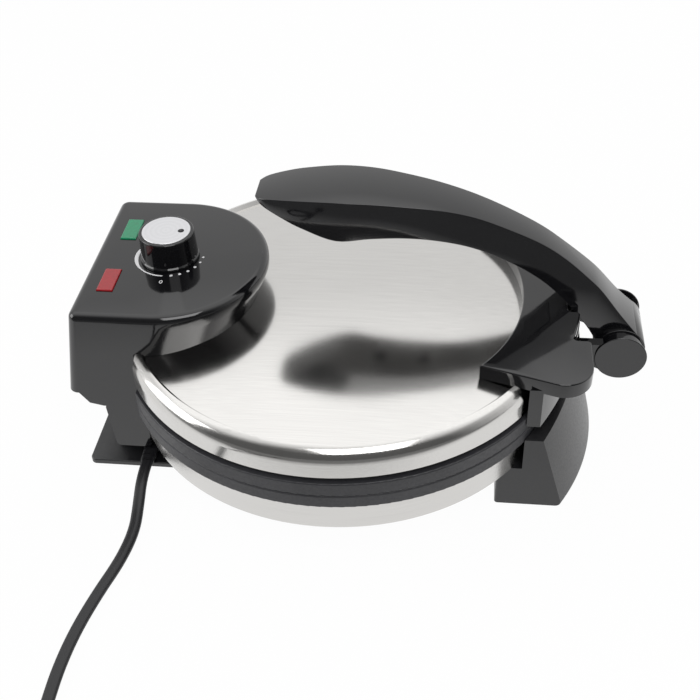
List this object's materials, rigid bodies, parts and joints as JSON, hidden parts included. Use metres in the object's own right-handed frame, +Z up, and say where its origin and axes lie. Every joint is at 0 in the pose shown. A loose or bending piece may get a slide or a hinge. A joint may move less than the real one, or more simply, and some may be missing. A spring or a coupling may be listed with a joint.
{
  "type": "electric roti maker",
  "caption": "Round electric flatbread press: hinged steel lid with rear control panel, fold-over press handle, front foot and rear stand.",
  "frame": {"origin": "middle of the object's footprint on the table, its cord left out", "axes": "+X from the control housing towards the handle's barrel, +Z up, +Y completes a right-handed frame"},
  "size_m": [0.4057, 0.54, 0.1762],
  "materials": {
    "brushed_stainless": "fine horizontal brushing",
    "dark_rim": "fine moulded texture",
    "coated_plate": "non-stick coating on a cast plate",
    "heater_sheath": "dull",
    "mineral_wool": "felted",
    "gloss_black": "high gloss",
    "moulded_black": "satin moulded",
    "zinc_steel": "plated",
    "brass": "bright",
    "silver_cap": "satin",
    "green_lens": "translucent, moulded",
    "red_lens": "translucent, moulded",
    "rubber": "flexible",
    "tie_plastic": "plain"
  },
  "bodies": {
    "base": {"lower_ring": "dark_rim", "base_skirt": "brushed_stainless", "base_cover": "zinc_steel", "lower_plate": "coated_plate", "lower_element": "heater_sheath", "lower_insulator": "mineral_wool", "front_foot": "moulded_black", "foot_plate": "moulded_black", "foot_plate_screws": "zinc_steel", "foot_screws": "zinc_steel", "rear_stand": "moulded_black", "stand_screws": "zinc_steel", "stand_pads": "rubber", "hinge_pin": "zinc_steel", "strain_relief": "rubber", "power_cord": "rubber", "cord_coil": "rubber", "cord_tie": "tie_plastic", "plug_body": "rubber", "plug_blades": "brass"},
    "lid": {"lid_shell": "brushed_stainless", "upper_ring": "dark_rim", "upper_plate": "coated_plate", "upper_element": "heater_sheath", "upper_insulator": "mineral_wool", "thermal_fuse": "heater_sheath", "control_housing": "gloss_black", "housing_cover": "moulded_black", "housing_screws": "zinc_steel", "thermostat": "moulded_black", "thermostat_bushing": "brass", "lamp_holders": "moulded_black", "green_lens": "green_lens", "red_lens": "red_lens", "hinge_sleeves": "brass", "front_bracket": "gloss_black", "bracket_screws": "zinc_steel", "pivot_bolt": "zinc_steel", "pivot_caps": "gloss_black"},
    "press_handle": {"handle_shell": "gloss_black", "handle_cover": "moulded_black", "handle_screws": "zinc_steel"},
    "knob": {"control_knob": "gloss_black", "knob_cap": "silver_cap", "thermostat_shaft": "zinc_steel"}
  },
  "joints": [
    {"name": "lid_hinge", "type": "hinge", "parent": "base", "child": "lid", "pos_m": [-0.1423, 0, 0.0232], "axis": [0, -1, 0], "range_deg": [0, 70]},
    {"name": "handle_pivot", "type": "hinge", "parent": "lid", "child": "press_handle", "pos_m": [0.1612, 0, 0.0738], "axis": [0, 1, 0], "range_deg": [0, 150]},
    {"name": "knob_turn", "type": "hinge", "parent": "lid", "child": "knob", "pos_m": [-0.1183, 0, 0.12], "axis": [0, 0, -1], "range_deg": [0, 196]}
  ]
}
